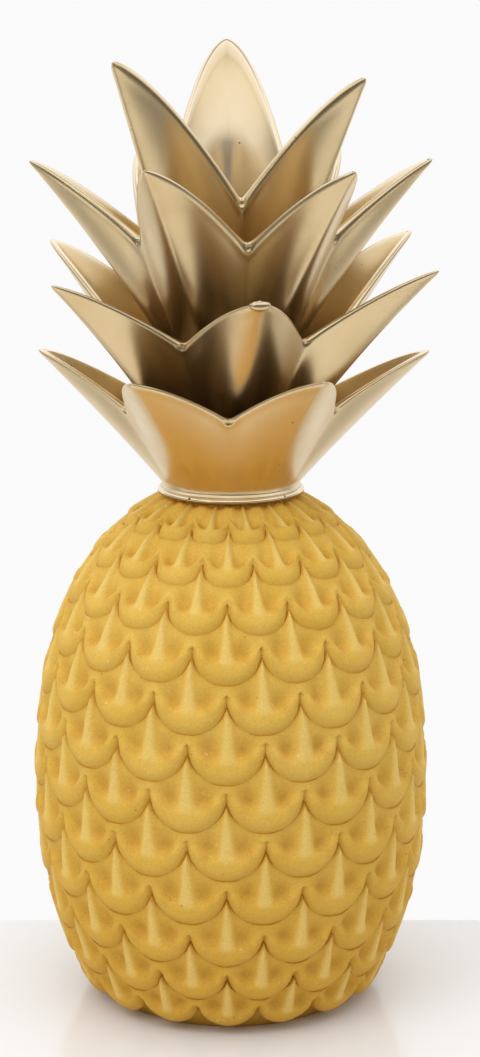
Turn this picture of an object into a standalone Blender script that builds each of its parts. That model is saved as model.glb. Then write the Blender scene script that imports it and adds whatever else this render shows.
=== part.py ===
"""Decorative pineapple: a carved body of overlapping scales under a crown of joined leaves.

Metres, +Z up. The origin is the middle of the flat underside, and the front faces -Y.
Azimuths are in degrees round the upright axis, from the front towards +X.
"""

import math
from dataclasses import dataclass

import bmesh
import bpy
import numpy as np

COLLECTION = "decorative_pineapple"

# Outline of the body: two half ovals that meet at the belly.
BELLY_RADIUS = 0.0698
BELLY_HEIGHT = 0.075
SHOULDER_REACH = 0.112
SHOULDER_POWER = 2.5
FLANK_REACH = 0.106
FLANK_POWER = 2.0
NECK_HEIGHT = 0.1817
NECK_RADIUS = 0.0256
FOOT_RADIUS = 0.043
FOOT_BAND_HEIGHT = 0.008
FOOT_BAND_FLARE = 0.0045

# Rows of scales, laid out along the curve from the neck down.
SCALES_ROUND = 16
SCALE_ROWS = 12
ROW_PITCH = 0.0168
FIRST_ROW = 0.0165
LAST_PITCHES = (0.0158, 0.0142)
PLAIN_BAND = 0.0030
PATTERN_TURN = -1.1

# Carving of one scale. Sizes across and along it are for a scale of the full half width.
FULL_HALF_WIDTH = 0.0137
LOBE_DROP_SHARE = 0.56
LOBE_DROP_LEAST = 0.0020
RECESS_DEPTH = 0.0022
LIP_HEIGHT = 0.0033
TUCK_HEIGHT = 0.0005
EDGE_ROUND = 0.0026
DIMPLE_DEPTH = 0.0013
DIMPLE_PLACE = 0.0060
DIMPLE_LEVEL = 0.0125
DIMPLE_HALF_WIDTH = 0.0034
DIMPLE_HALF_HEIGHT = 0.0046
RIDGE_HEIGHT = 0.0011
RIDGE_START = 0.0012
RIDGE_SPREAD = 0.10

# Crown: a flared collar, then four cups of leaves, each standing in the one below.
JOINT_GAP = 0.0003
COLLAR_RADIUS = 0.0256
COLLAR_LIP = 0.0010
COVE_RADIUS = 0.0244
COVE_HEIGHT = 0.0023
CUP_FLOOR_HEIGHT = 0.262
FOOT_WALL = 0.0030
RIM_WALL = 0.0020
TIP_WALL = 0.0036
LEAF_POINT = 1.6
LEAF_ARCH = 1.3
VALLEY_LEAN = 0.25

# Mesh density, and where the three rings of a row of scales lie.
BODY_COLUMNS = SCALES_ROUND * 6
RING_BELOW_EDGE = (0.0004, 0.10)
RING_MIDDLE = 0.52
RING_LIP = (0.0016, 0.20)
CROWN_COLUMNS = 48
OUTER_STEPS = 2
INNER_STEPS = 2
SHARP_ANGLE = math.radians(28)
WELD = 1e-6


@dataclass(frozen=True)
class Tier:
    """One ring of joined leaves, open like a cup.

    The valleys are the low points of the rim between two leaves, and sag is how far the
    underside of a leaf hollows. Each leaf gives the azimuth, radius and height of its tip,
    and how far its next valley is turned from halfway to the next leaf.
    """

    foot_radius: float
    foot_height: float
    valley_radius: float
    valley_height: float
    sag: float
    leaves: tuple


TIERS = (
    Tier(0.0240, 0.1862, 0.0415, 0.2145, 0.0005,
         ((28, 0.0660, 0.2290, 0), (90, 0.0686, 0.2313, 0), (150, 0.0670, 0.2300, 0),
          (209, 0.0670, 0.2300, 0), (270, 0.0655, 0.2320, 0), (330.5, 0.0660, 0.2279, 0))),
    Tier(0.0200, 0.1980, 0.0400, 0.2390, 0.0018,
         ((7.7, 0.0735, 0.2579, 0), (69, 0.0752, 0.2625, 0), (118, 0.0730, 0.2693, 0),
          (187, 0.0730, 0.2660, 0), (242, 0.0730, 0.2662, 0), (309, 0.0735, 0.2597, -1))),
    Tier(0.0190, 0.2270, 0.0372, 0.2718, 0.0018,
         ((34.6, 0.0690, 0.2977, 5), (93, 0.0690, 0.2970, 0), (145, 0.0690, 0.2963, 0),
          (210, 0.0675, 0.2950, 0), (273, 0.0680, 0.2970, 0), (336.5, 0.0685, 0.2986, 3))),
    Tier(0.0185, 0.2480, 0.0265, 0.2866, 0,
         ((60, 0.0520, 0.3254, 1), (182, 0.0470, 0.3360, -6), (309, 0.0490, 0.3310, 4))),
)


def polar(radius, azimuth, height):
    """A point from its radius, azimuth in degrees and height."""
    turn = math.radians(azimuth)
    return np.array((radius * math.sin(turn), -radius * math.cos(turn), height))


def body_radius(height):
    """Mean radius of the carved body at a height."""
    rise = height - BELLY_HEIGHT
    reach, power = (SHOULDER_REACH, SHOULDER_POWER) if rise > 0 else (FLANK_REACH, FLANK_POWER)
    return BELLY_RADIUS * math.sqrt(1 - abs(rise / reach) ** power)


class Meridian:
    """The body's outline, read by the distance along it from the neck."""

    def __init__(self, steps=400):
        self.height = np.linspace(NECK_HEIGHT, 0, steps + 1)
        self.radius = np.array([body_radius(height) for height in self.height])
        stretch = np.hypot(np.diff(self.height), np.diff(self.radius))
        self.along = np.concatenate(((0,), np.cumsum(stretch)))
        self.out_radius = -np.gradient(self.height, self.along)
        self.out_height = np.gradient(self.radius, self.along)

    def half_width(self, along):
        """Half the width of a scale at a distance along the outline."""
        return math.pi * np.interp(along, self.along, self.radius) / SCALES_ROUND

    def point(self, along, azimuth, lift):
        """A point lifted off the outline along its normal."""
        radius = np.interp(along, self.along, self.radius)
        radius += lift * np.interp(along, self.along, self.out_radius)
        height = np.interp(along, self.along, self.height)
        height += lift * np.interp(along, self.along, self.out_height)
        return polar(radius, azimuth, height)


class ScaleRow:
    """One row of scales: round lobes side by side, with a cusp between two of them."""

    def __init__(self, meridian, number):
        plain_rows = SCALE_ROWS - len(LAST_PITCHES) - 1
        self.number = number
        self.bottom = FIRST_ROW + ROW_PITCH * min(number, plain_rows)
        self.bottom += sum(LAST_PITCHES[:max(0, number - plain_rows)])
        self.half_width = meridian.half_width(self.bottom - ROW_PITCH / 4)
        self.drop = LOBE_DROP_LEAST + LOBE_DROP_SHARE * self.half_width
        self.lobe_radius = (self.half_width ** 2 + self.drop ** 2) / (2 * self.drop)
        self.size = self.half_width / FULL_HALF_WIDTH

    def across(self, azimuth):
        """Place across a scale, from -1 at one cusp over 0 at its middle to 1 at the next."""
        lobes = (azimuth - PATTERN_TURN) * SCALES_ROUND / 360 + (0 if self.number % 2 else 0.5)
        return 2 * (lobes - round(lobes))

    def edge(self, azimuth):
        """Distance along the outline to the scalloped lower edge."""
        lateral = self.across(azimuth) * self.half_width
        return self.bottom - self.lobe_radius + math.sqrt(self.lobe_radius ** 2 - lateral ** 2)

    def relief(self, azimuth, along):
        """Height of the carving over the recess, at a place on the row."""
        lateral = abs(self.across(azimuth)) * self.half_width
        above = self.bottom - along
        inset = self.half_width - lateral
        if above < self.lobe_radius:
            inset = min(inset, self.lobe_radius - math.hypot(lateral, self.lobe_radius - above))
        rounding = max(0.0, 1 - max(0.0, 1 - inset / EDGE_ROUND) ** 2)
        length = ROW_PITCH + self.drop
        shingle = LIP_HEIGHT - (LIP_HEIGHT - TUCK_HEIGHT) * min(1.0, above / length)
        bowl_across = (lateral / self.size - DIMPLE_PLACE) / DIMPLE_HALF_WIDTH
        bowl_along = (above / self.size - DIMPLE_LEVEL) / DIMPLE_HALF_HEIGHT
        bowl = math.exp(-bowl_across ** 2 - bowl_along ** 2)
        ridge_width = self.size * (RIDGE_START + RIDGE_SPREAD * max(0.0, length - above))
        ridge = math.exp(-(lateral / ridge_width) ** 2) * min(1.0, 2 * above / length)
        carving = shingle * math.sqrt(rounding)
        return carving + self.size * (RIDGE_HEIGHT * ridge - DIMPLE_DEPTH * bowl)


def row_places(rows, row, azimuth):
    """Where the rings of a row lie at an azimuth, as distances along the outline."""
    edge = row.edge(azimuth)
    top = rows[row.number - 1].edge(azimuth) if row.number else PLAIN_BAND
    span = edge - top
    below_edge, lip = (min(size, share * span) for size, share in (RING_BELOW_EDGE, RING_LIP))
    places = [top + below_edge, top + RING_MIDDLE * span, edge - lip]
    return places if row.number else places[1:]


def body_rings():
    """Rings of the body from the neck down to the foot, three to a row of scales."""
    meridian = Meridian()
    rows = [ScaleRow(meridian, number) for number in range(SCALE_ROWS)]
    azimuths = [PATTERN_TURN + 360 * column / BODY_COLUMNS for column in range(BODY_COLUMNS)]
    rings = [[polar(NECK_RADIUS, azimuth, NECK_HEIGHT) for azimuth in azimuths]]
    for row in rows:
        for places in zip(*(row_places(rows, row, azimuth) for azimuth in azimuths)):
            rings.append([meridian.point(place, azimuth, row.relief(azimuth, place) - RECESS_DEPTH)
                          for place, azimuth in zip(places, azimuths)])
    band = []
    for azimuth in azimuths:
        height = meridian.point(rows[-1].edge(azimuth), azimuth, -RECESS_DEPTH)[2]
        flare = FOOT_BAND_FLARE * min(1.0, height / FOOT_BAND_HEIGHT)
        band.append(polar(FOOT_RADIUS + flare, azimuth, height))
    rings.append(band)
    rings.append([polar(FOOT_RADIUS, azimuth, 0) for azimuth in azimuths])
    return rings


class LeafCup:
    """The lines of one tier: from its foot to its rim outside, and down again inside."""

    def __init__(self, tier, floor_height):
        self.tier = tier
        self.floor_height = floor_height
        per_leaf = CROWN_COLUMNS // len(tier.leaves)
        lines = [self.line(number, 2 * step / per_leaf)
                 for number in range(len(tier.leaves))
                 for step in range(1 - per_leaf // 2, per_leaf // 2 + 1)]
        fronts = [abs(math.atan2(line[0][0], -line[0][1])) for line in lines]
        first = fronts.index(min(fronts))
        self.lines = lines[first:] + lines[:first]

    def valley(self, number, side):
        """The low point of the rim on one side of a leaf: azimuth, radius and height."""
        leaves = self.tier.leaves
        own, other = leaves[number], leaves[(number + side) % len(leaves)]
        turn = (other[0] - own[0]) * side % 360
        azimuth = own[0] + side * turn / 2 + leaves[number if side > 0 else number - 1][3]
        mean = sum(leaf[2] for leaf in leaves) / len(leaves)
        height = self.tier.valley_height + VALLEY_LEAN * ((own[2] + other[2]) / 2 - mean)
        return azimuth, self.tier.valley_radius, height

    def line(self, number, place):
        """Foot, rim, inner rim and hollowing of a line, from -1 to 1 across a leaf."""
        azimuth, reach, height, _ = self.tier.leaves[number]
        side = 1 if place > 0 else -1
        share = abs(place)
        valley_azimuth, valley_radius, valley_height = self.valley(number, side)
        out = polar(1, azimuth, 0)
        right = polar(1, azimuth + 90, 0)
        low = polar(valley_radius, valley_azimuth, 0)
        back = reach - low @ out
        along = share ** LEAF_POINT
        rim = out * (reach - back * along) + right * (low @ right) * share
        rim[2] = height + (valley_height - height) * along ** LEAF_ARCH
        foot_azimuth = azimuth + (valley_azimuth - azimuth) * share
        foot = polar(self.tier.foot_radius, foot_azimuth, self.tier.foot_height)
        slope = back * LEAF_POINT * share ** (LEAF_POINT - 1)
        inward = -out * abs(low @ right) - right * side * slope
        inward /= np.linalg.norm(inward)
        blend = share ** 4
        inward = inward * (1 - blend) - polar(1, valley_azimuth, 0) * blend
        wall = TIP_WALL + (RIM_WALL - TIP_WALL) * min(1.0, 3 * share)
        hollow = polar(-1, azimuth, 1) / math.sqrt(2) * self.tier.sag * (1 - share)
        return foot, rim, rim + inward * wall, hollow

    def outer(self, share):
        """Ring of the outer face, from the foot at 0 to the rim at 1."""
        return [foot + (rim - foot) * share + hollow * 4 * share * (1 - share)
                for foot, rim, _, hollow in self.lines]

    def inner(self, share):
        """Ring of the inner face, from the rim at 0 to the cup's floor at 1."""
        ring = []
        for foot, rim, inner_rim, hollow in self.lines:
            floor = (self.floor_height - foot[2]) / (rim[2] - foot[2])
            low = foot + (rim - foot) * floor + hollow * 4 * floor * (1 - floor)
            flat = low * np.array((1, 1, 0))
            low = low - flat / np.linalg.norm(flat) * FOOT_WALL
            low[2] = self.floor_height
            bend = hollow * 4 * share * (1 - share) * (1 - floor) ** 2
            ring.append(inner_rim + (low - inner_rim) * share + bend)
        return ring


def crown_rings():
    """Rings of the crown: the collar, then up and down each cup of leaves in turn."""
    base = NECK_HEIGHT + JOINT_GAP
    collar = ((COLLAR_RADIUS, base), (COLLAR_RADIUS, base + COLLAR_LIP),
              (COVE_RADIUS, base + COVE_HEIGHT))
    turn = 360 / CROWN_COLUMNS
    rings = [[polar(radius, column * turn, height) for column in range(CROWN_COLUMNS)]
             for radius, height in collar]
    floors = [tier.foot_height for tier in TIERS[1:]] + [CUP_FLOOR_HEIGHT]
    for tier, floor in zip(TIERS, floors):
        cup = LeafCup(tier, floor)
        rings += [cup.outer(step / OUTER_STEPS) for step in range(OUTER_STEPS + 1)]
        rings += [cup.inner(step / INNER_STEPS) for step in range(INNER_STEPS + 1)]
    return rings


def make_material(name, colour, roughness, metallic):
    """A plain Principled material."""
    material = bpy.data.materials.new(name)
    material.use_nodes = True
    shader = material.node_tree.nodes["Principled BSDF"]
    shader.inputs["Base Color"].default_value = (*colour, 1)
    shader.inputs["Roughness"].default_value = roughness
    shader.inputs["Metallic"].default_value = metallic
    material.diffuse_color = (*colour, 1)
    return material


def skin(name, rings, material, collection):
    """A closed solid: a grid rolled into a tube through the rings, with both ends filled."""
    columns, spans = len(rings[0]), len(rings) - 1
    shell = bmesh.new()
    bmesh.ops.create_grid(shell, x_segments=columns, y_segments=spans, size=1)
    for vertex in shell.verts:
        column = round((vertex.co.x + 1) / 2 * columns) % columns
        vertex.co = rings[round((vertex.co.y + 1) / 2 * spans)][column]
    bmesh.ops.remove_doubles(shell, verts=shell.verts, dist=WELD)
    bmesh.ops.holes_fill(shell, edges=shell.edges, sides=columns)
    bmesh.ops.triangulate(shell, faces=shell.faces, quad_method="SHORT_EDGE")
    bmesh.ops.recalc_face_normals(shell, faces=shell.faces)
    mesh = bpy.data.meshes.new(name)
    shell.to_mesh(mesh)
    shell.free()
    mesh.materials.append(material)
    mesh.shade_smooth()
    mesh.set_sharp_from_angle(angle=SHARP_ANGLE)
    solid = bpy.data.objects.new(name, mesh)
    collection.objects.link(solid)
    return solid


def main():
    """Clear the scene, then build the body and the crown."""
    for old in list(bpy.data.objects):
        bpy.data.objects.remove(old)
    collection = bpy.data.collections.new(COLLECTION)
    bpy.context.scene.collection.children.link(collection)
    yellow = make_material("matt_yellow_ceramic", (0.70, 0.42, 0.07), 0.72, 0.0)
    gold = make_material("satin_gold_glaze", (0.66, 0.46, 0.22), 0.28, 1.0)
    skin("body", body_rings(), yellow, collection)
    skin("crown", crown_rings(), gold, collection)


main()
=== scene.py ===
"""Decorative pineapple, dressed: a matt yellow body of carved scales and a gold crown of leaves.

Metres, +Z up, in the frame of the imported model. The front faces -Y, and azimuths are in
degrees round the upright axis, from the front towards +X.
"""

from __future__ import annotations

import logging
import math
from dataclasses import dataclass, field
from enum import Enum
from typing import Any

import bpy
import numpy as np
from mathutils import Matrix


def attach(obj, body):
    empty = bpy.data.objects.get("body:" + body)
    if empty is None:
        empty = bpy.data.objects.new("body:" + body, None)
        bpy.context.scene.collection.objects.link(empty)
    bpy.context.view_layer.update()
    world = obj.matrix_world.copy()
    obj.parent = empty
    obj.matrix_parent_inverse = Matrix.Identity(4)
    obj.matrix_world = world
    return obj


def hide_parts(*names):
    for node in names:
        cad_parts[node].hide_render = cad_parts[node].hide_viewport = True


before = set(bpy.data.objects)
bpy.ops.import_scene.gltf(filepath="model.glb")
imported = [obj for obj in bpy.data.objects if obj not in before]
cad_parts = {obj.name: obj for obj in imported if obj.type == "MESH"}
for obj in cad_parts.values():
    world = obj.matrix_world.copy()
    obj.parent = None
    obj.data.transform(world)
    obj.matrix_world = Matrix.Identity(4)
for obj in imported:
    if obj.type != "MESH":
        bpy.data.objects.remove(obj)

Array = np.ndarray
Pair = tuple[float, float]
Triple = tuple[float, float, float]
Colour = Triple
LOG = logging.getLogger("pineapple")


class Node(Enum):
    """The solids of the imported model."""

    BODY = "body"
    CROWN = "crown"


class Slot(Enum):
    """The record's material slots."""

    YELLOW = "yellow_body"
    GOLD = "gold_crown"


class Mark(Enum):
    """Named values that the meshes carry for their finishes."""

    CREVICE = "crevice"
    RIDGE = "ridge"
    DIMPLE = "dimple"
    RIM = "rim"
    DEPTH = "depth"


# Small helpers for places and directions.


def polar(radius: Array | float, azimuth: Array | float, height: Array | float) -> Array:
    """Points from their radii, azimuths in degrees and heights.

    Args:
        radius: Distance from the upright axis.
        azimuth: Degrees from the front towards +X.
        height: Height over the underside.

    Returns:
        An array with x, y and z last.
    """
    turn = np.radians(azimuth)
    parts = np.broadcast_arrays(radius * np.sin(turn), -radius * np.cos(turn), height)
    return np.stack(parts, axis=-1)


def unit(vectors: Array) -> Array:
    """The same vectors at length 1."""
    return vectors / np.linalg.norm(vectors, axis=-1, keepdims=True)


def smooth_step(share: Array) -> Array:
    """A share held to 0 and 1, with soft ends."""
    held = np.clip(share, 0, 1)
    return held * held * (3 - 2 * held)


def eased(share: Array, power: float = 2.0) -> Array:
    """A share that runs ever slower towards 1."""
    return 1 - (1 - share) ** power


# Materials.


class Wire:
    """A node's output, on which arithmetic adds Math nodes."""

    def __init__(self, tree: Finish, socket: bpy.types.NodeSocket) -> None:
        self.tree = tree
        self.socket = socket

    def _math(self, operation: str, first: Any, second: Any) -> Wire:
        """One Math node on two values."""
        return self.tree.node("ShaderNodeMath", {"operation": operation}, {0: first, 1: second})

    def __add__(self, other: Any) -> Wire:
        """This value plus another."""
        return self._math("ADD", self, other)

    __radd__ = __add__

    def __sub__(self, other: Any) -> Wire:
        """This value less another."""
        return self._math("SUBTRACT", self, other)

    def __rsub__(self, other: Any) -> Wire:
        """Another value less this one."""
        return self._math("SUBTRACT", other, self)

    def __mul__(self, other: Any) -> Wire:
        """This value times another."""
        return self._math("MULTIPLY", self, other)

    __rmul__ = __mul__


class Finish:
    """A material's node tree, or the world's, with one method for any node."""

    def __init__(self, tree: bpy.types.NodeTree) -> None:
        self.tree = tree

    def node(self, kind: str, settings: dict[str, Any] | None = None,
             values: dict[Any, Any] | None = None, output: int | str = 0) -> Wire:
        """Add a node.

        Args:
            kind: The node's type.
            settings: Its own settings, set before its sockets. The key stops fills a ramp.
            values: Values or wires of its sockets, by name or number.
            output: Which of its outputs is wanted.

        Returns:
            The wire of that output.
        """
        made = self.tree.nodes.new(kind)
        for name, setting in (settings or {}).items():
            if name == "stops":
                ramp = made.color_ramp
                while len(ramp.elements) < len(setting):
                    ramp.elements.new(0.5)
                for element, (place, colour) in zip(ramp.elements, setting):
                    element.position = place
                    element.color = (*colour, 1)
            else:
                setattr(made, name, setting)
        for name, value in (values or {}).items():
            self.feed(made.inputs[name], value)
        return Wire(self, made.outputs[output])

    def feed(self, socket: bpy.types.NodeSocket, value: Any) -> None:
        """Link a wire to a socket, or set its value.

        Args:
            socket: The input to feed.
            value: A wire, a number, a vector or a colour.
        """
        if isinstance(value, Wire):
            self.tree.links.new(value.socket, socket)
        elif socket.type == "RGBA":
            socket.default_value = (*value, 1)
        else:
            socket.default_value = value

    def blend(self, share: Any, first: Any, second: Any, way: str = "MIX") -> Wire:
        """Mix two colours.

        Args:
            share: How much of the second, from 0 to 1.
            first: A colour or wire.
            second: A colour or wire.
            way: How the second is laid over the first.

        Returns:
            The wire of the mixed colour.
        """
        settings = {"data_type": "RGBA", "blend_type": way}
        return self.node("ShaderNodeMix", settings, {0: share, 6: first, 7: second}, 2)

    def step(self, value: Wire, low: float, high: float, out: Pair = (0, 1)) -> Wire:
        """A smooth step from one value to another.

        Args:
            value: What is read.
            low: Where the step starts.
            high: Where it ends.
            out: The values before and after it.

        Returns:
            The wire of the stepped value.
        """
        settings = {"interpolation_type": "SMOOTHSTEP"}
        values = {"Value": value, "From Min": low, "From Max": high,
                  "To Min": out[0], "To Max": out[1]}
        return self.node("ShaderNodeMapRange", settings, values)

    def mark(self, name: Mark) -> Wire:
        """A value that the mesh carries."""
        settings = {"attribute_name": name.value}
        return self.node("ShaderNodeAttribute", settings, output="Fac")

    def cloud(self, place: Wire, scale: float, detail: float = 2.0, rough: float = 0.5) -> Wire:
        """Soft noise from 0 to 1.

        Args:
            place: Where it is read.
            scale: Patches to a metre.
            detail: How many finer layers it has.
            rough: How strong those are.

        Returns:
            The wire of the noise.
        """
        values = {"Vector": place, "Scale": scale, "Detail": detail, "Roughness": rough}
        return self.node("ShaderNodeTexNoise", {}, values)

    def specks(self, place: Wire, scale: float, size: float, groups: Triple) -> Wire:
        """Sparse ragged dots in groups.

        Args:
            place: Where they are read.
            scale: Cells to a metre, with one dot each.
            size: Radius of a dot as a share of its cell.
            groups: Groups to a metre, and the noise where one starts and is in full.

        Returns:
            A wire that is 1 in a dot and 0 elsewhere.
        """
        near = self.node("ShaderNodeTexVoronoi", {}, {"Vector": place, "Scale": scale})
        near = near + (self.cloud(place, scale * 4, 1) - 0.5) * size * 1.5
        dots = self.step(near, size, size * 0.5)
        groups_scale, start, full = groups
        return dots * self.step(self.cloud(place, groups_scale), start, full)


def new_finish(name: str) -> tuple[bpy.types.Material, Finish, bpy.types.Node]:
    """A fresh material.

    Args:
        name: Its name.

    Returns:
        The material, its tree and its main shader.
    """
    material = bpy.data.materials.new(name)
    material.use_nodes = True
    return material, Finish(material.node_tree), material.node_tree.nodes["Principled BSDF"]


@dataclass(frozen=True)
class MattCeramic:
    """Matt mustard glaze with fine sand in it: a painted highlight on the ridges, painted shade in
    the hollows and towards the foot, and dirt and painted shade in the crevices.

    Scales are patches to a metre, and lengths are in metres. The gloss is the roughness off
    and on a ridge, and the bump is its strength and its distance.
    """

    plain: Colour = (0.785, 0.492, 0.088)
    warm: Colour = (0.745, 0.452, 0.066)
    # Painted shade towards the foot.
    low: Colour = (0.670, 0.365, 0.032)
    # Painted highlight on the ridges.
    pale: Colour = (0.850, 0.610, 0.175)
    # Painted shade in the hollows.
    hollow: Colour = (0.590, 0.325, 0.044)
    # Dirt and painted shade in the crevices.
    crevice: Colour = (0.570, 0.300, 0.035)
    pit: Colour = (0.200, 0.100, 0.020)
    chalk: Colour = (0.860, 0.660, 0.370)
    patch_scale: float = 32
    blotch_scale: float = 260
    sand_scale: float = 1500
    pit_scale: float = 210
    pit_size: float = 0.065
    pit_groups: Triple = (60, 0.50, 0.62)
    chalk_scale: float = 420
    chalk_groups: float = 90
    # Height under which the painted shade darkens the glaze.
    foot_shade_height: float = 0.11
    crevice_dirt_and_shade: float = 0.65
    gloss: Pair = (0.70, 0.55)
    refraction: float = 1.45
    specular: float = 0.35
    bump: Pair = (0.4, 0.00014)

    def make(self) -> bpy.types.Material:
        """Build the material's nodes.

        Returns:
            The material.
        """
        material, tree, shader = new_finish("matt_mustard_ceramic")
        place = tree.node("ShaderNodeTexCoord", output="Object")
        patches = tree.cloud(place, self.patch_scale, 3, 0.6)
        sand = tree.cloud(place, self.sand_scale, 3, 0.7)
        blotches = tree.cloud(place, self.blotch_scale, 3, 0.6)
        dimple, ridge = tree.mark(Mark.DIMPLE), tree.mark(Mark.RIDGE)
        crevice = tree.mark(Mark.CREVICE)

        # The glaze: patchy, with painted shade towards the foot, a painted highlight on the
        # ridges, painted shade in the hollows, and dirt and painted shade in the crevices.
        colour = tree.blend(tree.step(patches, 0.35, 0.68), self.plain, self.warm)
        height = tree.node("ShaderNodeSeparateXYZ", {}, {0: place}, "Z")
        colour = tree.blend(tree.step(height, self.foot_shade_height, 0.0, (0, 0.85)), colour, self.low)
        colour = tree.blend(tree.step(ridge, 0.2, 1.0, (0, 0.7)), colour, self.pale)
        hollow_shade = dimple * tree.step(blotches, 0.2, 0.8, (0.6, 1.0))
        colour = tree.blend(hollow_shade, colour, self.hollow)
        colour = tree.blend(crevice * self.crevice_dirt_and_shade, colour, self.crevice)

        # Sand, dark pits and pale chalky flecks.
        grain = tree.step(sand, 0.30, 0.70, (0.92, 1.06))
        colour = tree.blend(1.0, colour, tree.node(
            "ShaderNodeCombineXYZ", {}, {"X": grain, "Y": grain, "Z": grain}), "MULTIPLY")
        speckle = tree.step(sand, 0.40, 0.30) * tree.step(blotches, 0.45, 0.65)
        colour = tree.blend(speckle * (dimple * 0.5 + 0.10), colour, self.pit)
        pits = tree.specks(place, self.pit_scale, self.pit_size, self.pit_groups)
        colour = tree.blend(pits * 0.8, colour, self.pit)
        dust = tree.step(tree.cloud(place, self.chalk_scale, 2, 0.7), 0.67, 0.74)
        dust = dust * tree.step(tree.cloud(place, self.chalk_groups), 0.46, 0.60)
        colour = tree.blend(dust * 0.6, colour, self.chalk)

        tree.feed(shader.inputs["Base Color"], colour)
        tree.feed(shader.inputs["Roughness"], tree.step(ridge, 0.0, 1.0, self.gloss))
        shader.inputs["IOR"].default_value = self.refraction
        shader.inputs["Specular IOR Level"].default_value = self.specular
        relief = sand * 0.35 + blotches * 0.65 - pits * 0.8
        strength, distance = self.bump
        tree.feed(shader.inputs["Normal"], tree.node(
            "ShaderNodeBump", {}, {"Strength": strength, "Distance": distance, "Height": relief}))
        material.diffuse_color = (*self.plain, 1)
        return material


@dataclass(frozen=True)
class SatinGold:
    """Champagne gold lustre over ceramic: satin on the faces, polished on the rims, with painted
    shade deep in the cups and a painted highlight on the rims.

    A chip is its azimuth, height and radius. The drawing stretches the streaks sideways. The
    gloss is the least and the most roughness off the rims. The rest is as in the ceramic.
    """

    plain: Colour = (0.760, 0.595, 0.345)
    warm: Colour = (0.725, 0.550, 0.300)
    # Painted highlight on the rims and the collar.
    rim: Colour = (0.900, 0.790, 0.620)
    # Painted shade deep in the cups, at the leaves' feet and in the collar's groove.
    deep: Colour = (0.160, 0.110, 0.060)
    pit: Colour = (0.110, 0.070, 0.030)
    chips: tuple[Triple, ...] = (
        (-34.0, 0.1836, 0.0005), (47.0, 0.1837, 0.0004))
    chip_reach: float = 0.0254
    chip_ragged: float = 0.0008
    cloud_scale: float = 55
    grain_scale: float = 2600
    streak_scale: float = 700
    drawing: Triple = (0.12, 0.12, 1.0)
    pit_scale: float = 150
    pit_size: float = 0.055
    pit_groups: Triple = (38, 0.50, 0.60)
    gloss: Pair = (0.28, 0.33)
    rim_polish: float = 0.12
    bump: Pair = (0.07, 0.00004)

    def make(self) -> bpy.types.Material:
        """Build the material's nodes.

        Returns:
            The material.
        """
        material, tree, shader = new_finish("satin_champagne_gold")
        place = tree.node("ShaderNodeTexCoord", output="Object")
        grain = tree.cloud(place, self.grain_scale, 2, 0.7)
        clouds = tree.cloud(place, self.cloud_scale, 3, 0.55)
        drawn = tree.node("ShaderNodeMapping", {}, {"Vector": place, "Scale": self.drawing})
        streaks = tree.cloud(drawn, self.streak_scale, 3, 0.6)
        rim, depth = tree.mark(Mark.RIM), tree.mark(Mark.DEPTH)

        # The lustre: cloudy, with painted shade deep in the cups and a painted highlight on the
        # rims.
        colour = tree.blend(tree.step(clouds, 0.35, 0.70), self.plain, self.warm)
        colour = tree.blend(tree.step(depth, 0.35, 1.0, (0, 0.9)), colour, self.deep)
        colour = tree.blend(rim * 0.7, colour, self.rim)
        polish = tree.step(rim, 0.85, 1.0)

        # Pits, and the chips on the collar.
        pits = tree.specks(place, self.pit_scale, self.pit_size, self.pit_groups)
        for azimuth, height, size in self.chips:
            centre = tuple(float(part) for part in polar(self.chip_reach, azimuth, height))
            away = tree.node("ShaderNodeVectorMath", {"operation": "DISTANCE"},
                             {0: place, 1: centre}, "Value")
            away = away + (tree.cloud(place, 900, 2) - 0.5) * self.chip_ragged
            pits = pits + tree.step(away, size, size * 0.7)
        pits = tree.node("ShaderNodeClamp", {}, {"Value": pits})
        colour = tree.blend(pits, colour, self.pit)

        tree.feed(shader.inputs["Base Color"], colour)
        tree.feed(shader.inputs["Metallic"], 1 - pits * 0.9)
        rough = tree.step(clouds, 0.3, 0.7, self.gloss) + (streaks - 0.5) * 0.02
        rough = rough + pits * 0.3 - polish * self.rim_polish
        tree.feed(shader.inputs["Roughness"], rough)
        relief = grain * (1 - polish)
        strength, distance = self.bump
        tree.feed(shader.inputs["Normal"], tree.node(
            "ShaderNodeBump", {}, {"Strength": strength, "Distance": distance, "Height": relief}))
        material.diffuse_color = (*self.plain, 1)
        return material


@dataclass(frozen=True)
class PaleTable:
    """A pale painted table top with a soft sheen and a little dust."""

    paint: Colour = (0.785, 0.785, 0.790)
    dust: Colour = (0.30, 0.28, 0.25)
    dust_scale: float = 40
    dust_size: float = 0.03
    dust_groups: Triple = (9, 0.5, 0.6)
    gloss_scale: float = 12
    gloss: Pair = (0.16, 0.19)

    def make(self) -> bpy.types.Material:
        """Build the material's nodes.

        Returns:
            The material.
        """
        material, tree, shader = new_finish("pale_table")
        place = tree.node("ShaderNodeTexCoord", output="Object")
        dust = tree.specks(place, self.dust_scale, self.dust_size, self.dust_groups)
        tree.feed(shader.inputs["Base Color"], tree.blend(dust * 0.25, self.paint, self.dust))
        rough = tree.step(tree.cloud(place, self.gloss_scale), 0.3, 0.7, self.gloss)
        tree.feed(shader.inputs["Roughness"], rough)
        return material


# Shared mesh making.


def clear_selection() -> None:
    """Deselect every object."""
    bpy.ops.object.select_all(action="DESELECT")


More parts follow.
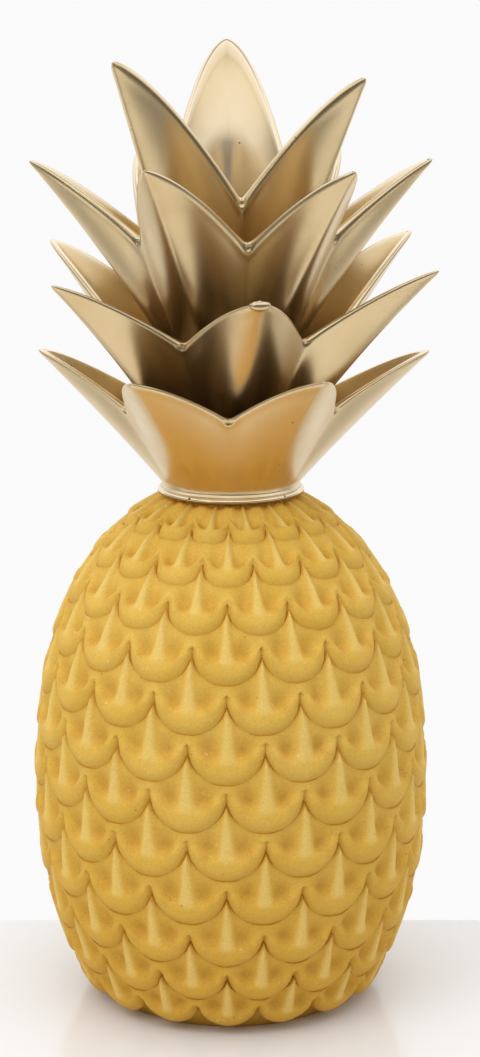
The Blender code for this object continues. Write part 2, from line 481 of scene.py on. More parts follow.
def rolled_skin(name: str, rings: Array, marks: dict[Mark, Array],
                angle: float) -> bpy.types.Object:
    """Close a skin through rings of points: a grid rolled into a tube, with both ends filled.

    Args:
        name: The piece's name.
        rings: Points by ring, column and axis. The first and last ring are flat.
        marks: Values by ring and column, which the mesh carries.
        angle: Edges sharper than this many degrees stay sharp.

    Returns:
        The piece, at the origin.
    """
    spans, columns = rings.shape[0] - 1, rings.shape[1]
    clear_selection()
    bpy.ops.mesh.primitive_grid_add(x_subdivisions=columns, y_subdivisions=spans, size=2)
    piece = bpy.context.object
    piece.name = piece.data.name = name
    flat = np.empty(len(piece.data.vertices) * 3)
    piece.data.vertices.foreach_get("co", flat)
    flat = flat.reshape(-1, 3)
    column = np.rint((flat[:, 0] + 1) / 2 * columns).astype(int) % columns
    ring = np.rint((flat[:, 1] + 1) / 2 * spans).astype(int)
    piece.data.vertices.foreach_set("co", rings[ring, column].ravel())
    for mark, values in marks.items():
        attribute = piece.data.attributes.new(mark.value, "FLOAT", "POINT")
        attribute.data.foreach_set("value", np.clip(values[ring, column], 0, 1))
    bpy.ops.object.mode_set(mode="EDIT")
    bpy.ops.mesh.select_all(action="SELECT")
    bpy.ops.mesh.remove_doubles(threshold=1e-6)
    bpy.ops.mesh.fill_holes(sides=0)
    bpy.ops.mesh.select_all(action="SELECT")
    bpy.ops.mesh.normals_make_consistent(inside=False)
    bpy.ops.object.mode_set(mode="OBJECT")
    bpy.ops.object.shade_smooth_by_angle(angle=math.radians(angle))
    return piece


def dress(piece: bpy.types.Object, material: bpy.types.Material, node: Node) -> None:
    """Finish a piece and set it in the place of its solid.

    Args:
        piece: The finished mesh object.
        material: Its finish.
        node: The solid that it stands for.
    """
    piece.data.materials.clear()
    piece.data.materials.append(material)
    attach(piece, "root")
    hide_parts(node.value)
    LOG.info("%s: %d faces", piece.name, len(piece.data.polygons))


# The body.


@dataclass
class Outline:
    """The body's outline from the neck down: two half ovals that meet at the belly."""

    belly_radius: float = 0.0694
    belly_height: float = 0.075
    shoulder: Pair = (0.112, 2.5)
    flank: Pair = (0.106, 2.0)
    neck_height: float = 0.1826
    steps: int = 1200

    def __post_init__(self) -> None:
        """Read the outline by the distance along it."""
        self.height = np.linspace(self.neck_height, 0, self.steps + 1)
        rise = self.height - self.belly_height
        reach = np.where(rise > 0, self.shoulder[0], self.flank[0])
        power = np.where(rise > 0, self.shoulder[1], self.flank[1])
        self.radius = self.belly_radius * np.sqrt(1 - np.abs(rise / reach) ** power)
        stretch = np.hypot(np.diff(self.height), np.diff(self.radius))
        self.along = np.concatenate(((0,), np.cumsum(stretch)))
        self.out_radius = -np.gradient(self.height, self.along)
        self.out_height = np.gradient(self.radius, self.along)

    def read(self, table: Array, along: Array | float) -> Array:
        """Values of one of the tables at distances along the outline."""
        return np.interp(along, self.along, table)

    def point(self, along: Array, azimuths: Array, lift: Array) -> Array:
        """Points lifted off the outline along its normal.

        Args:
            along: Distances along the outline from the neck.
            azimuths: Their azimuths.
            lift: Heights over the outline.

        Returns:
            The points.
        """
        radius = self.read(self.radius, along) + lift * self.read(self.out_radius, along)
        height = self.read(self.height, along) + lift * self.read(self.out_height, along)
        return polar(radius, azimuths, height)


@dataclass
class CarvedBody:
    """The body: rows of round-lobed scales, each over the row below, on an oval outline.

    Distances up a scale are from its lower edge, and those across it from its middle, both
    for a scale of full size. A reach is the length over which a mark fades. The own spread is
    how much single scales differ: how far the ridge is off the middle, how much thicker the
    edge is as a share, how much higher the hollows are, and how much deeper as a share. The
    band's dirt and shade is its crevice mark at the neck, which paints dirt and shade under the
    collar, and its reach.
    """

    outline: Outline = field(default_factory=Outline)
    neck_radius: float = 0.0256
    foot_radius: float = 0.043
    foot_flare: float = 0.0045
    foot_height: float = 0.008
    foot_edge: Pair = (0.0002, 0.0005)
    sole_insets: Pair = (0.0004, 0.006)
    scales: int = 16
    rows: int = 12
    pitch: float = 0.0168
    first_row: float = 0.0203
    last_pitches: Pair = (0.0155, 0.0136)
    plain_band: float = 0.0018
    band_inset: float = 0.0004
    band_dirt_and_shade: Pair = (0.3, 0.0008)
    turn: float = -1.1
    full_half_width: float = 0.0137
    tall_share: float = 0.45
    drop_share: float = 0.57
    drop_least: float = 0.0020
    recess: float = 0.0024
    clearance: float = 0.00006
    lip: float = 0.0030
    tuck: float = 0.0008
    shingle_rise: float = 0.45
    edge_round: float = 0.0038
    seat: float = 0.0015
    side_round: float = 0.0026
    side_fade: float = 0.0036
    side_left: float = 0.16
    dome: Pair = (0.0096, 0.0039)
    dome_bend: float = 0.0080
    dimple: Pair = (0.0062, 0.0115)
    dimple_size: Pair = (0.0031, 0.0031)
    dimple_depth: float = 0.0021
    dimple_top: float = 0.7
    # Height and size of the painted shade in the hollows.
    dimple_shade: Pair = (0.0104, 0.0027)
    flange: float = 0.0012
    flange_across: Pair = (0.30, 0.6)
    flange_up: Pair = (0.25, 0.5)
    fullness: float = 2.6
    ridge_height: float = 0.0026
    ridge_start: float = 0.0010
    ridge_spread: float = 0.095
    ridge_root: float = 9000.0
    ridge_end: float = 0.0012
    crevice_reach: Pair = (0.0010, 0.0013)
    notch_reach: Pair = (0.0010, 0.0030)
    own_spread: tuple[float, ...] = (0.0004, 0.05, 0.0005, 0.18)
    edge_waves: tuple[int, ...] = (31, 47, 66)
    edge_wobble: float = 0.00006
    slow_waves: tuple[int, ...] = (3, 5, 8)
    slow_swell: float = 0.00006
    columns_to_scale: int = 20
    rings_to_row: int = 22
    seed: int = 7

    def __post_init__(self) -> None:
        """Lay out the columns, the rows and each scale's own small differences."""
        self.columns = self.scales * self.columns_to_scale
        self.azimuths = self.turn + 360 * np.arange(self.columns) / self.columns
        plain_rows = self.rows - len(self.last_pitches) - 1
        self.bottoms = [self.first_row + self.pitch * min(row, plain_rows)
                        + sum(self.last_pitches[:max(0, row - plain_rows)])
                        for row in range(self.rows)]
        chance = np.random.default_rng(self.seed)
        own = chance.uniform(-1, 1, (self.rows, self.scales, len(self.own_spread)))
        self.own = own * self.own_spread
        self.phases = chance.uniform(0, 2 * math.pi, (self.rows, len(self.edge_waves)))

    def half_width(self, row: int) -> float:
        """Half the width of a scale of a row."""
        along = self.bottoms[row] - self.pitch / 4
        return math.pi * float(self.outline.read(self.outline.radius, along)) / self.scales

    def lobe(self, row: int) -> Pair:
        """The form of a row's lobes.

        Args:
            row: The row's number from the top.

        Returns:
            How far they hang below the cusps, and the radius of their edge.
        """
        half = self.half_width(row)
        drop = self.drop_least + self.drop_share * half
        return drop, (half ** 2 + drop ** 2) / (2 * drop)

    def across(self, row: int) -> tuple[Array, Array]:
        """The columns' places in the scales of a row.

        Args:
            row: The row's number from the top.

        Returns:
            For every column the place across its scale, from -1 to 1, and that scale's own
            differences.
        """
        lobes = (self.azimuths - self.turn) * self.scales / 360 + (0 if row % 2 else 0.5)
        whole = np.rint(lobes)
        return 2 * (lobes - whole), self.own[row, whole.astype(int) % self.scales]

    def edge(self, row: int) -> Array:
        """A row's scalloped lower edge.

        Args:
            row: The row's number from the top.

        Returns:
            The distance along the outline to it, for every column.
        """
        place, _ = self.across(row)
        _, radius = self.lobe(row)
        swing = sum(np.sin(np.radians(self.azimuths) * turns + phase)
                    for turns, phase in zip(self.edge_waves, self.phases[row]))
        wobble = self.edge_wobble * swing * (1 - place ** 2)
        return (self.bottoms[row] - radius + wobble
                + np.sqrt(radius ** 2 - (place * self.half_width(row)) ** 2))

    def relief(self, row: int, along: Array) -> tuple[Array, dict[Mark, Array]]:
        """The carving at one place of every column of a row.

        Args:
            row: The row's number from the top.
            along: Distance along the outline, for every column.

        Returns:
            The height over the recess, and how far the place is in a hollow, on a ridge and
            in a crevice.
        """
        half = self.half_width(row)
        size = half / self.full_half_width
        tall = size ** self.tall_share
        drop, radius = self.lobe(row)
        place, own = self.across(row)
        aside, thicker, higher, deeper = own.T
        calm = 1 - place ** 2

        # Distances from the scale's middle, its lower edge and its sides.
        lateral = np.abs(place * half - aside * calm * size)
        above = self.bottoms[row] - along
        length = self.pitch + drop
        level = np.clip(above / length, 0, 1)
        under = radius - np.hypot(place * half, radius - above)
        under = np.where(above < radius, under, half)
        beside = (1 - np.abs(place)) * half

        # How far the edges are rounded off.
        round_edge = eased(np.clip(under / self.edge_round, 0, 1))
        round_side = eased(np.clip(beside / self.side_round, 0, 1))
        fade = np.exp(-(np.maximum(0, above - drop) / self.side_fade) ** 2)
        fade = self.side_left + (1 - self.side_left) * fade
        round_side = 1 - (1 - round_side) * fade

        # The face, which rises to the lower edge and, by the flange, to the upper corners.
        shingle = self.tuck + self.shingle_rise * (self.lip - self.tuck) * (1 - level)
        flange = smooth_step((np.abs(place) - self.flange_across[0]) / self.flange_across[1])
        flange = flange * smooth_step((level - self.flange_up[0]) / self.flange_up[1])
        face = shingle + self.flange * flange

        # The two hollows, the ridge between them, and the dome along the lower edge.
        bowl_across = (lateral / size - self.dimple[0]) / self.dimple_size[0]
        bowl_along = (above / tall - self.dimple[1] - higher) / self.dimple_size[1]
        bowl_along = np.where(bowl_along > 0, bowl_along * self.dimple_top, bowl_along)
        bowl = np.exp(-np.abs(bowl_across) ** self.fullness - np.abs(bowl_along) ** self.fullness)
        lip = self.lip * (1 + thicker * calm)
        run = np.maximum(0, length - above)
        width = size * (self.ridge_start + self.ridge_spread * run + self.ridge_root * run ** 4)
        ridge = np.exp(-(lateral / width) ** self.fullness) * np.minimum(1, run / self.ridge_end)
        crest = self.ridge_height + (lip - self.ridge_height) * (1 - level) ** 1.2
        border = self.dome[0] + self.dome_bend * place ** 2
        dome = smooth_step((border * tall - above) / (self.dome[1] * tall))
        face = face - tall * (self.dimple_depth * (1 + deeper * calm)) * bowl
        face = face + np.maximum(0, crest - face) * ridge
        face = face + (lip - face) * dome

        # The height, rounded to the edges.
        seat = self.seat * np.maximum(0, calm) ** 0.7
        soft = 0.5 * (round_edge + smooth_step(under / self.edge_round))
        profile = soft + (np.sqrt(round_edge) - soft) * place ** 4
        height = (seat + (face - seat) * profile) * np.sqrt(round_side)

        # What the finish reads: the crevice and notch marks paint dirt and shade under the edges
        # and at the cusps, the dimple shade paints shade in the hollows, and the ridge mark a
        # highlight.
        top = self.edge(row - 1) if row else np.full(self.columns, self.plain_band)
        notch = np.exp(-((beside / self.notch_reach[0]) ** 2))
        notch = notch * np.exp(-((above - drop) / self.notch_reach[1]) ** 2)
        crevice = np.exp(-(np.maximum(0, under) / self.crevice_reach[0]))
        crevice = crevice + 0.8 * np.exp(-(along - top) / self.crevice_reach[1])
        crevice = crevice * (0.85 - 0.35 * place ** 4)
        # The dimple shade is painted shade in the hollows.
        dimple_shade_along = (above / tall - self.dimple_shade[0]) / self.dimple_shade[1]
        dimple_shade = np.exp(-np.abs(bowl_across) ** self.fullness - np.abs(dimple_shade_along) ** self.fullness)
        return height, {Mark.DIMPLE: dimple_shade * (1 - ridge), Mark.RIDGE: ridge * (1 - 0.75 * dome),
                        Mark.CREVICE: np.maximum(crevice, 0.4 * notch)}

    def rings(self) -> tuple[Array, dict[Mark, Array]]:
        """All rings from the neck down to the foot.

        Returns:
            Their points by ring, column and axis, and the values that they carry.
        """
        blank = np.zeros(self.columns)
        rings: list[Array] = []
        marks: dict[Mark, list[Array]] = {Mark.DIMPLE: [], Mark.RIDGE: [], Mark.CREVICE: []}

        def add(ring: Array, carried: dict[Mark, Array | float]) -> None:
            """Keep a ring.

            Args:
                ring: Its points.
                carried: The values that it carries. One that isn't named is 0.
            """
            rings.append(ring)
            for mark, values in marks.items():
                values.append(blank + carried.get(mark, 0))

        # The neck band's crevice mark paints dirt and shade under the collar.
        dirt_and_shade, fade = self.band_dirt_and_shade
        neck = polar(self.neck_radius, self.azimuths, self.outline.neck_height)
        add(neck, {Mark.CREVICE: dirt_and_shade})
        for along in np.linspace(0.0006, self.plain_band - 0.0002, 3):
            add(self.outline.point(blank + along, self.azimuths, blank - self.band_inset),
                {Mark.CREVICE: dirt_and_shade * math.exp(-along / fade)})

        # The rows, each from just under the edge of the row above down to its own edge.
        shares = eased(np.linspace(0, 1, self.rings_to_row), 1.7)
        for row in range(self.rows):
            edge = self.edge(row)
            top = self.edge(row - 1) if row else blank + self.plain_band
            for share in shares:
                along = top + self.clearance + (edge - top - self.clearance) * share
                height, carried = self.relief(row, along)
                slow = sum(np.sin(np.radians(self.azimuths) * turns + 90 * along + turns)
                           for turns in self.slow_waves)
                lift = height - self.recess + self.slow_swell * slow
                add(self.outline.point(along, self.azimuths, lift), carried)

        # The foot: in under the last row, then down to the sole.
        last = rings[-1]
        height = last[:, 2]
        flare = self.foot_flare * np.minimum(1, height / self.foot_height)
        inner = polar(self.foot_radius + flare, self.azimuths, height)
        foot = polar(self.foot_radius + self.foot_edge[0], self.azimuths, self.foot_edge[1])
        outer_sole, inner_sole = (polar(self.foot_radius - inset, self.azimuths, 0)
                                  for inset in self.sole_insets)
        # The crevice marks paint dirt and shade in under the last row and at the foot.
        for ring, dirt_and_shade in ((last + (inner - last) * 0.5, 1.0), (inner, 0.9),
                           (inner + (foot - inner) * 0.5, 0.6), (foot, 0.5),
                           (outer_sole, 0.5), (inner_sole, 0.0)):
            add(ring, {Mark.CREVICE: dirt_and_shade})
        return np.array(rings), {mark: np.array(values) for mark, values in marks.items()}

    def build(self) -> bpy.types.Object:
        """Model the body."""
        rings, marks = self.rings()
        return rolled_skin("carved_body", rings, marks, 50)

    def dress(self, piece: bpy.types.Object, finish: MattCeramic) -> None:
        """Give the body its glaze, in the place of its solid."""
        dress(piece, finish.make(), Node.BODY)


# The crown.


@dataclass(frozen=True)
class Leaf:
    """The tip of a leaf, and how many degrees its next valley is turned from halfway."""

    azimuth: float
    reach: float
    height: float
    turn: float = 0.0


@dataclass
class LeafCup:
    """One ring of joined leaves, open like a cup, with round rims and a bead in each valley.

    A share runs from 0 at a leaf's tip to 1 in a valley. A rounding is how far it goes in and
    down. The bulge is its height, and the lengths over which it swells and fades. The rib
    below a valley is its height, half width and length. A bead or nose is placed out and up
    from the valley or the tip. Each fold is its height, its share and its width. A rise is how
    soon, down the inside, something is in full.
    """

    foot_radius: float
    foot_height: float
    valley_radius: float
    valley_height: float
    sag: float
    leaves: tuple[Leaf, ...]
    floor_height: float
    columns: int = 288
    point: float = 1.6
    arch: float = 1.3
    lean: float = 0.25
    crowding: float = 0.55
    rim_wall: float = 0.0028
    foot_wall: float = 0.0030
    outer_round: Pair = (0.0022, 0.0045)
    tip_round: Pair = (0.0012, 0.0020)
    tip_width: float = 0.16
    inner_round: float = 0.0008
    bulge: Triple = (0.0002, 0.003, 0.004)
    rib: Triple = (0.0008, 0.0015, 0.0090)
    bead: float = 0.0014
    bead_place: Pair = (0.0007, -0.0009)
    noses: tuple[int, ...] = ()
    nose: Triple = (0.0036, 0.0016, 0.0017)
    nose_place: Pair = (-0.0019, -0.0007)
    fill: float = 0.0
    fill_rise: float = 2.4
    folds: tuple[Triple, ...] = ((0.05, 0.0, 0.10), (-0.04, 0.30, 0.14))
    fold_rise: float = 8.0
    # The depth mark paints shade: the shade at the leaves' feet outside, the border at the top of
    # the inside. The light paints a highlight on the inside in the rim colour.
    shade: float = 0.95
    shade_fade: float = 2.2
    light: float = 0.0
    highlight_rise: float = 3.0
    edge_light: float = 12.0
    border: float = 0.0
    border_width: float = 0.15
    bright_from: float = 0.55
    outside_rings: int = 22
    rim_rings: int = 13
    lip_rings: int = 6
    inside_rings: int = 16

    def valley(self, number: int, side: int) -> Triple:
        """The low point of the rim on one side of a leaf.

        Args:
            number: Which leaf.
            side: 1 for its next valley, -1 for the one before.

        Returns:
            Azimuth, radius and height.
        """
        own, other = self.leaves[number], self.leaves[(number + side) % len(self.leaves)]
        turn = (other.azimuth - own.azimuth) * side % 360
        shift = self.leaves[number if side > 0 else number - 1].turn
        mean = sum(leaf.height for leaf in self.leaves) / len(self.leaves)
        height = self.valley_height + self.lean * ((own.height + other.height) / 2 - mean)
        return own.azimuth + side * turn / 2 + shift, self.valley_radius, height

    def line(self, number: int, place: float) -> tuple[Array, ...]:
        """One line up a leaf.

        Args:
            number: Which leaf.
            place: Across it, from -1 in one valley over 0 at the tip to 1 in the next.

        Returns:
            Foot, outer rim, inner rim, hollowing, and the share towards the valley.
        """
        leaf = self.leaves[number]
        side = 1 if place > 0 else -1
        share = abs(place)
        share -= self.crowding * math.sin(2 * math.pi * share) / (2 * math.pi)
        valley_azimuth, valley_radius, valley_height = self.valley(number, side)
        out, right = polar(1.0, leaf.azimuth, 0.0), polar(1.0, leaf.azimuth + 90, 0.0)
        low = polar(valley_radius, valley_azimuth, 0.0)
        back = leaf.reach - low @ out
        along = share ** self.point
        rim = out * (leaf.reach - back * along) + right * (low @ right) * share
        rim[2] = leaf.height + (valley_height - leaf.height) * along ** self.arch
        foot_azimuth = leaf.azimuth + (valley_azimuth - leaf.azimuth) * share
        foot = polar(self.foot_radius, foot_azimuth, self.foot_height)
        slope = back * self.point * share ** (self.point - 1)
        inward = unit(-out * abs(low @ right) - right * side * slope)
        blend = share ** 4
        inward = inward * (1 - blend) - polar(1.0, valley_azimuth, 0.0) * blend
        hollow = polar(-1.0, leaf.azimuth, 1.0) / math.sqrt(2) * self.sag * (1 - share)
        return foot, rim, rim + inward * self.rim_wall, hollow, np.array(share)

    def lines(self) -> tuple[Array, ...]:
        """All lines of the cup, from the one nearest the front round towards +X.

        Returns:
            Their feet, outer rims, inner rims, hollowings and shares towards the valleys.
        """
        to_leaf = self.columns // len(self.leaves)
        lines = [self.line(number, 2 * step / to_leaf)
                 for number in range(len(self.leaves))
                 for step in range(1 - to_leaf // 2, to_leaf // 2 + 1)]
        fronts = [abs(math.atan2(line[0][0], -line[0][1])) for line in lines]
        first = fronts.index(min(fronts))
        return tuple(np.array(part) for part in zip(*(lines[first:] + lines[:first])))

    def rings(self) -> tuple[list[Array], list[Array], list[Array]]:
        """Rings up the outside, over the rim and down the inside.

        Returns:
            Their points, their rim marks and their depth marks.
        """
        foot, rim, inner, hollow, share = self.lines()
        share = share[:, None]
        rise = rim - foot
        up = rise + hollow * -4
        up = up / up[:, 2:]
        inward = inner - rim
        wall = np.linalg.norm(inward, axis=1, keepdims=True)
        inward = inward / wall
        near_tip = np.exp(-(share / self.tip_width) ** 2)
        wide = self.outer_round[0] + (self.tip_round[0] - self.outer_round[0]) * near_tip
        tall = self.outer_round[1] + (self.tip_round[1] - self.outer_round[1]) * near_tip
        below = rim - up * tall
        beside = (1 - share) * np.linalg.norm(self.width(), axis=0) * 0.5
        rib_across = self.rib[0] * np.exp(-(beside / self.rib[1]) ** 2)
        rings, rims, depths = [], [], []

        def add(ring: Array, bright: float, deep: Array | float) -> None:
            """Keep a ring.

            Args:
                ring: Its points.
                bright: Its rim mark.
                deep: Its depth mark.
            """
            rings.append(ring)
            rims.append(np.full(self.columns, bright))
            depths.append(np.broadcast_to(deep, (self.columns,)))

        # Up the outside, then round the outer edge of the rim. The depth mark paints shade towards
        # the foot, and the rim mark paints a highlight over the rim, which is also polished.
        bulge, swelling, fading = self.bulge
        for step in eased(np.linspace(0, 1, self.outside_rings), 1.4):
            reach = foot + (below - foot) * step + hollow * 4 * step * (1 - step)
            drop = below[:, 2:] - reach[:, 2:]
            reach = reach + inward * bulge * smooth_step(drop / swelling) * np.exp(-drop / fading)
            reach = reach - inward * rib_across * np.exp(-drop / self.rib[2])
            add(reach, 0, self.shade * (1 - step) ** self.shade_fade)
        for turn in np.radians(np.linspace(0, 90, self.rim_rings)[1:]):
            curl = rim + inward * wide * (1 - math.cos(turn)) - up * tall * (1 - math.sin(turn))
            bright = float(smooth_step(turn - self.bright_from))
            add(curl - inward * rib_across * math.cos(turn), bright, 0)

        # Round the inner edge, then down the inside to the floor. The rim mark paints a highlight
        # at the inner edge, polished there, and on the top cup's inside; the depth mark paints
        # shade deeper down, and the border a darker top edge, partly the lustre's own colour and
        # partly a painted dark reflection.
        floor = (self.floor_height - foot[:, 2:]) / rise[:, 2:]
        low = foot + rise * floor + hollow * 4 * floor * (1 - floor)
        flat = low * (1, 1, 0)
        low = low - unit(flat) * self.foot_wall
        low[:, 2] = self.floor_height
        down = low - inner
        fall = down / -down[:, 2:]
        for turn in np.radians(np.linspace(90, 0, self.lip_rings)):
            add(inner - inward * self.inner_round * (1 - math.cos(turn))
                + fall * self.inner_round * (1 - math.sin(turn)), 1, 0)
        start = inner + fall * self.inner_round
        folds = sum(height * np.exp(-((share - middle) / width) ** 2)
                    for height, middle, width in self.folds)
        for step in np.linspace(0, 1, self.inside_rings)[1:]:
            bend = hollow * 4 * step * (1 - step) * (1 - floor) ** 2
            swell = ((1 - share ** 2) ** 2 * min(1.0, self.fill_rise * step)
                     + folds * min(1.0, self.fold_rise * step))
            bend = bend - unit(flat) * self.fill * swell * (1 - step)
            pale = max(self.light * min(1.0, self.highlight_rise * step) * (1 - step),
                       1 - step * self.edge_light)
            add(start + (low - start) * step + bend, pale,
                max(step, self.border * math.exp(-(step / self.border_width) ** 2)))
        return rings, rims, depths

    def width(self) -> Array:
        """The line from one valley to the next."""
        first, second = self.valley(0, -1), self.valley(0, 1)
        return polar(second[1], second[0], second[2]) - polar(first[1], first[0], first[2])

    def beads(self) -> list[tuple[Array, Array]]:
        """The small beads: one in each valley, and the tips' noses.

        Returns:
            The middle and the half axes of each.
        """
        beads = []
        for number, leaf in enumerate(self.leaves):
            azimuth, radius, height = self.valley(number, 1)
            out, up = self.bead_place
            beads.append((polar(radius + out, azimuth, height + up), self.bead * np.eye(3)))
            if number in self.noses:
                side, front = polar(1, leaf.azimuth + 90, 0), polar(1, leaf.azimuth, 0)
                axes = np.array((side, front, (0, 0, 1))) * np.array(self.nose)[:, None]
                out, up = self.nose_place
                beads.append((polar(leaf.reach + out, leaf.azimuth, leaf.height + up), axes))
        return beads


@dataclass
class LeafCrown:
    """The crown in one piece: a flared collar, then four cups of leaves in one another.

    The collar's points are a radius and a height over its base. A tier is a cup's foot radius
    and height, its valleys' radius and height, its sag, and its leaves' tips.
    """

    base: float = 0.1829
    collar: tuple[Pair, ...] = (
        (0.0255, 0.0000), (0.02562, 0.0002), (0.0256, 0.0005), (0.02545, 0.0008),
        (0.0252, 0.0011), (0.0248, 0.0013), (0.0245, 0.0014), (0.02435, 0.0016),
        (0.0242, 0.0019), (0.0240, 0.0022))
    collar_rim: float = 0.0014
    collar_groove: Pair = (0.0013, 0.0018)
    top_floor: float = 0.262
    top_fill: float = 0.010
    top_painted_highlight: float = 0.9
    top_border_tint_and_shade: float = 0.62
    low_rounds: tuple[Pair, ...] = ((0.0015, 0.0020), (0.0018, 0.0028))
    nosed_leaves: tuple[int, ...] = (0,)
    smoothing: int = 3
    bead_core: float = 0.001
    tiers: tuple[tuple[Any, ...], ...] = (
        (0.0238, 0.1856, 0.0415, 0.2148, 0.0005,
         ((28, 0.0660, 0.2302), (90, 0.0697, 0.2318), (150, 0.0674, 0.2300),
          (209, 0.0674, 0.2300), (270, 0.0675, 0.2322), (330.5, 0.0662, 0.2295))),
        (0.0200, 0.1980, 0.0402, 0.2404, 0.0018,
         ((7.7, 0.0735, 0.2579), (69, 0.0756, 0.2629), (118, 0.0734, 0.2693),
          (187, 0.0734, 0.2660), (242, 0.0734, 0.2662), (307.5, 0.0747, 0.2602, -1))),
        (0.0190, 0.2270, 0.0372, 0.2720, 0.0018,
         ((35.6, 0.0698, 0.2985, 5), (93, 0.0700, 0.2974), (145, 0.0692, 0.2965),
          (210, 0.0678, 0.2952), (273, 0.0694, 0.2975), (336.5, 0.0686, 0.2994, 3))),
        (0.0185, 0.2480, 0.0265, 0.2866, 0.0,
         ((60, 0.0522, 0.3266, 1), (182, 0.0470, 0.3360, -6), (308.5, 0.0498, 0.3321, 4))),
    )

    def cups(self) -> list[LeafCup]:
        """The four cups.

        Returns:
            The cups from the lowest up, each with its floor at the foot of the next.
        """
        floors = [tier[1] for tier in self.tiers[1:]] + [self.top_floor]
        cups = [LeafCup(*tier[:5], tuple(Leaf(*leaf) for leaf in tier[5]), floor)
                for tier, floor in zip(self.tiers, floors)]
        cups[0].shade = 0.0
        cups[0].outer_round, cups[1].outer_round = self.low_rounds
        cups[1].noses = self.nosed_leaves
        top = cups[-1]
        top.fill, top.light, top.border = self.top_fill, self.top_painted_highlight, self.top_border_tint_and_shade
        return cups

    def rings(self) -> tuple[Array, dict[Mark, Array]]:
        """All rings of the crown, from the collar up.

        Returns:
            Their points by ring, column and axis, and the values that they carry.
        """
        cups = self.cups()
        columns = cups[0].columns
        foot = cups[0].lines()[0]
        turns = np.degrees(np.arctan2(foot[:, 0], -foot[:, 1]))
        rings, rims, depths = [], [], []
        # The collar's rim mark paints it pale as a highlight and polishes its foot; its depth mark
        # paints shade in the groove.
        for radius, rise in self.collar:
            grooved = self.collar_groove[0] < rise < self.collar_groove[1]
            rings.append(polar(radius, turns, self.base + rise))
            rims.append(np.full(columns, 1.0 if rise < self.collar_rim else 0.5))
            depths.append(np.full(columns, 0.7 if grooved else 0.0))
        for cup in cups:
            own, own_rims, own_depths = cup.rings()
            rings += own
            rims += own_rims
            depths += own_depths
        points = np.array(rings)
        for _ in range(self.smoothing):
            points = (np.roll(points, 1, axis=1) + 2 * points + np.roll(points, -1, axis=1)) / 4

        # Points inside a bead are pushed out to its surface.
        for cup in cups:
            for middle, axes in cup.beads():
                away = points - middle
                far = np.linalg.norm(away @ np.linalg.inv(axes), axis=2, keepdims=True)
                inside = (far < 1) & (far > self.bead_core)
                points = np.where(inside, middle + away / np.maximum(far, self.bead_core), points)
        return points, {Mark.RIM: np.array(rims), Mark.DEPTH: np.array(depths)}

    def build(self) -> bpy.types.Object:
        """Model the crown."""
        rings, marks = self.rings()
        return rolled_skin("leaf_crown", rings, marks, 80)

    def dress(self, piece: bpy.types.Object, finish: SatinGold) -> None:
        """Give the crown its gold, in the place of its solid."""
        dress(piece, finish.make(), Node.CROWN)


# The studio.


def grey(tone: float) -> Colour:
    """A grey of one tone."""
    return tone, tone, tone


@dataclass(frozen=True)
class SoftBox:
    """A square light: its name, place, side and watts, and whether glossy surfaces show it."""

    name: str
    place: Triple
    size: float
    power: float
    mirrored: bool = False


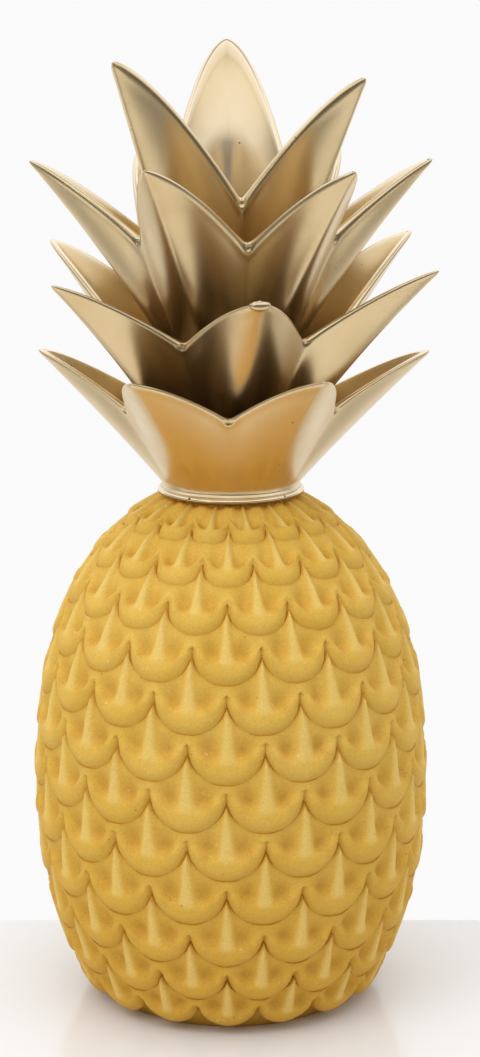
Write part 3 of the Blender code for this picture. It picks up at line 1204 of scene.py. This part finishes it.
@dataclass
class Studio:
    """The pale table, the soft light round it and the camera at the photograph's angle.

    The room's stops are a share of the way from the camera's side to the back, and a tone.
    The tones of its zones are laid over them: the upper walls, the ceiling and the floor in
    front. The camera itself sees the backdrop's tone.
    """

    aim: Triple = (0.0032, 0.0, 0.1685)
    distance: float = 0.980
    elevation: float = 12.6
    lens: float = 95.13
    sensor: float = 36.0
    table: Triple = (1.2, 0.40, 0.03)
    table_edge: float = 0.0635
    table_bevel: float = 0.002
    room: tuple[Pair, ...] = (
        (0.0, 0.11), (0.20, 0.12), (0.36, 0.21), (0.48, 0.40), (0.64, 0.49), (0.78, 0.66),
        (0.85, 0.98), (1.0, 1.0))
    upper_walls: float = 1.18
    ceiling: float = 0.45
    front_floor: float = 0.34
    backdrop: float = 0.96
    soft_boxes: tuple[SoftBox, ...] = (
        SoftBox("left_box", (-0.85, -0.80, 1.00), 0.7, 3.8),
        SoftBox("right_box", (1.05, -0.75, 0.80), 0.6, 0.8),
        SoftBox("glint_box", (-0.75, -1.00, 0.55), 0.25, 0.5, True),
        SoftBox("overhead", (-0.1, -0.45, 1.45), 1.4, 6.8))

    def lay_floor(self, finish: PaleTable) -> None:
        """Lay the table top that it stands on, with its far edge close behind.

        Args:
            finish: The table's paint.
        """
        _, deep, thick = self.table
        clear_selection()
        bpy.ops.mesh.primitive_cube_add(size=1)
        floor = bpy.context.object
        floor.name = floor.data.name = "floor"
        floor.scale = self.table
        floor.location = (0, self.table_edge - deep / 2, -thick / 2)
        bpy.ops.object.transform_apply(location=True, rotation=False, scale=True)
        bevel = floor.modifiers.new("edge", "BEVEL")
        bevel.width, bevel.segments = self.table_bevel, 3
        bpy.ops.object.modifier_apply(modifier=bevel.name)
        floor.data.materials.append(finish.make())

    def light(self) -> None:
        """Set the soft light: a pale room, darker towards the camera, and the soft boxes."""
        world = bpy.data.worlds.new("studio")
        world.use_nodes = True
        bpy.context.scene.world = world
        tree = Finish(world.node_tree)
        way = tree.node("ShaderNodeTexCoord", output="Generated")
        depth = tree.node("ShaderNodeSeparateXYZ", {}, {0: way}, "Y")
        rise = tree.node("ShaderNodeSeparateXYZ", {}, {0: way}, "Z")
        stops = [(place, grey(tone)) for place, tone in self.room]
        room = tree.node("ShaderNodeValToRGB", {"stops": stops}, {0: depth * 0.5 + 0.5})
        room = tree.blend(tree.step(rise, 0.28, 0.50), room, grey(self.upper_walls))
        room = tree.blend(tree.step(rise, 0.84, 0.99), room, grey(self.ceiling))
        low = tree.step(rise, -0.20, -0.50) * tree.step(depth, 0.50, 0.20)
        room = tree.blend(low, room, grey(self.front_floor))
        seen = tree.node("ShaderNodeLightPath", output="Is Camera Ray")
        colour = tree.blend(seen, room, grey(self.backdrop))
        tree.feed(world.node_tree.nodes["Background"].inputs["Color"], colour)
        for soft_box in self.soft_boxes:
            self.add_lamp(soft_box)

    def add_lamp(self, soft_box: SoftBox) -> None:
        """Add one soft box, turned to the object.

        Args:
            soft_box: The light to add.
        """
        bpy.ops.object.light_add(type="AREA", location=soft_box.place)
        lamp = bpy.context.object
        lamp.name = soft_box.name
        lamp.data.size = soft_box.size
        lamp.data.energy = soft_box.power
        lamp.visible_glossy = soft_box.mirrored
        lamp.rotation_euler = self.turned(np.array(self.aim) - np.array(soft_box.place))

    @staticmethod
    def turned(way: Array) -> Triple:
        """Angles that point a camera or light along a direction."""
        x, y, z = way
        return math.atan2(math.hypot(x, y), -z), 0.0, math.atan2(y, x) - math.pi / 2

    def place_camera(self) -> None:
        """Put the camera where the photograph was taken from."""
        rise = math.radians(self.elevation)
        back = self.distance * np.array((0, -math.cos(rise), math.sin(rise)))
        bpy.ops.object.camera_add(location=tuple(np.array(self.aim) + back))
        camera = bpy.context.object
        camera.name = "camera"
        camera.rotation_euler = self.turned(-back)
        camera.data.lens = self.lens
        camera.data.sensor_width = self.sensor
        bpy.context.scene.camera = camera
        bpy.context.scene.view_settings.view_transform = "Standard"


def main() -> None:
    """Build the pieces in order, and report each."""
    logging.basicConfig(level=logging.INFO, format="%(message)s")
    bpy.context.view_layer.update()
    studio = Studio()
    studio.place_camera()
    studio.light()
    studio.lay_floor(PaleTable())
    body = CarvedBody()
    body.dress(body.build(), MattCeramic())
    crown = LeafCrown()
    crown.dress(crown.build(), SatinGold())


if __name__ == "__main__":
    main()
